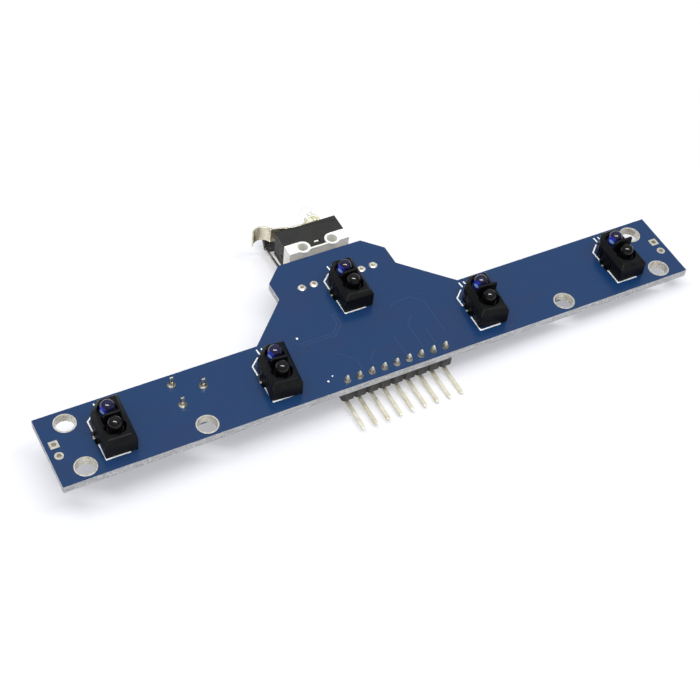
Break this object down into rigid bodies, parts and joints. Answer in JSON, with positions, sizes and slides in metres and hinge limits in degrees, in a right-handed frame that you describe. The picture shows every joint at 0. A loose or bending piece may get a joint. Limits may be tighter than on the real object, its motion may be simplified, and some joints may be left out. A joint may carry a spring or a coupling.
{
  "type": "line follower robot sensor board",
  "caption": "T-shaped line-tracking board: reflective infrared sensors along a bar, a lever bump switch and an infrared LED pair on its nose, and a right-angle pin header.",
  "frame": {"origin": "centre of the four corner mounting holes, on the component face of the board", "axes": "+X along the sensor bar, +Y towards the bump switch, +Z out of the face that carries the sensors"},
  "size_m": [0.128, 0.0544, 0.0133],
  "materials": {
    "board": "blue solder mask over fibreglass, satin",
    "plating": "tinned copper, satin",
    "solder": "solder, bright and slightly rippled",
    "housing": "moulded charcoal plastic, fine matte grain",
    "emitter_epoxy": "violet clear epoxy, glossy",
    "detector_epoxy": "black infrared-pass epoxy, glossy",
    "lead": "tinned wire, satin",
    "header_plastic": "moulded black plastic",
    "pin": "pale gilt pins, satin",
    "switch_white": "moulded white plastic, satin",
    "switch_black": "moulded black plastic, satin",
    "lever_steel": "rolled nickel-plated steel strip",
    "plunger_plastic": "moulded red plastic",
    "contact_metal": "stamped copper alloy",
    "clear_epoxy": "water-clear epoxy, glossy",
    "trimmer_brown": "phenolic board, satin",
    "carbon": "printed carbon film",
    "dial_plastic": "moulded pale plastic",
    "chip_black": "moulded chip package",
    "ceramic": "fired ceramic",
    "indicator_red": "tinted clear resin"
  },
  "bodies": {
    "board": {"capacitor_bodies": "ceramic", "capacitor_terminals": "plating", "circuit_board": "board", "common_terminal": "contact_metal", "comparator_leads": "lead", "comparator_packages": "chip_black", "end_pad_plating": "plating", "header_insulator": "header_plastic", "header_pins": "pin", "header_solder": "solder", "indicator_bodies": "indicator_red", "indicator_terminals": "plating", "lever_pivot_pin": "lever_steel", "mounting_hole_plating": "plating", "normally_closed_terminal": "contact_metal", "normally_open_terminal": "contact_metal", "obstacle_emitter_leads": "lead", "obstacle_emitter_lens": "clear_epoxy", "obstacle_led_solder": "solder", "obstacle_receiver_leads": "lead", "obstacle_receiver_lens": "detector_epoxy", "resistor_bodies": "chip_black", "resistor_terminals": "plating", "sensor_1_detector": "detector_epoxy", "sensor_1_emitter": "emitter_epoxy", "sensor_1_housing": "housing", "sensor_1_leads": "lead", "sensor_2_detector": "detector_epoxy", "sensor_2_emitter": "emitter_epoxy", "sensor_2_housing": "housing", "sensor_2_leads": "lead", "sensor_3_detector": "detector_epoxy", "sensor_3_emitter": "emitter_epoxy", "sensor_3_housing": "housing", "sensor_3_leads": "lead", "sensor_4_detector": "detector_epoxy", "sensor_4_emitter": "emitter_epoxy", "sensor_4_housing": "housing", "sensor_4_leads": "lead", "sensor_5_detector": "detector_epoxy", "sensor_5_emitter": "emitter_epoxy", "sensor_5_housing": "housing", "sensor_5_leads": "lead", "sensor_solder": "solder", "switch_base": "switch_white", "switch_cover": "switch_black", "switch_solder": "solder", "trimmer_base": "trimmer_brown", "trimmer_pins": "lead", "trimmer_solder": "solder", "trimmer_track": "carbon"},
    "lever": {"switch_lever": "lever_steel"},
    "plunger": {"switch_plunger": "plunger_plastic"},
    "blade": {"switch_blade": "contact_metal"},
    "dial": {"trimmer_dial": "dial_plastic", "trimmer_wiper": "contact_metal"}
  },
  "joints": [
    {"name": "lever_press", "type": "hinge", "parent": "board", "child": "lever", "pos_m": [0.0054, 0.03055, -0.0003], "axis": [0, 0, 1], "range_deg": [0, 8], "stiffness_Nm_per_rad": 0.02, "springref_deg": -5.73},
    {"name": "plunger_travel", "type": "slide", "parent": "board", "child": "plunger", "axis": [0, -1, 0], "range_m": [0, 0.00062]},
    {"name": "blade_swing", "type": "hinge", "parent": "board", "child": "blade", "pos_m": [-0.0049, 0.0295, -0.0003], "axis": [0, 0, -1], "range_deg": [0, 5.7]},
    {"name": "dial_turn", "type": "hinge", "parent": "board", "child": "dial", "pos_m": [-0.0366, 0.00319, -0.0031], "axis": [0, 0, 1], "range_deg": [-105, 105]}
  ],
  "couplings": [
    {"joint": "plunger_travel", "follows": "lever_press", "m_per_rad": 0.00425},
    {"joint": "blade_swing", "follows": "lever_press", "ratio": 0.6967}
  ]
}
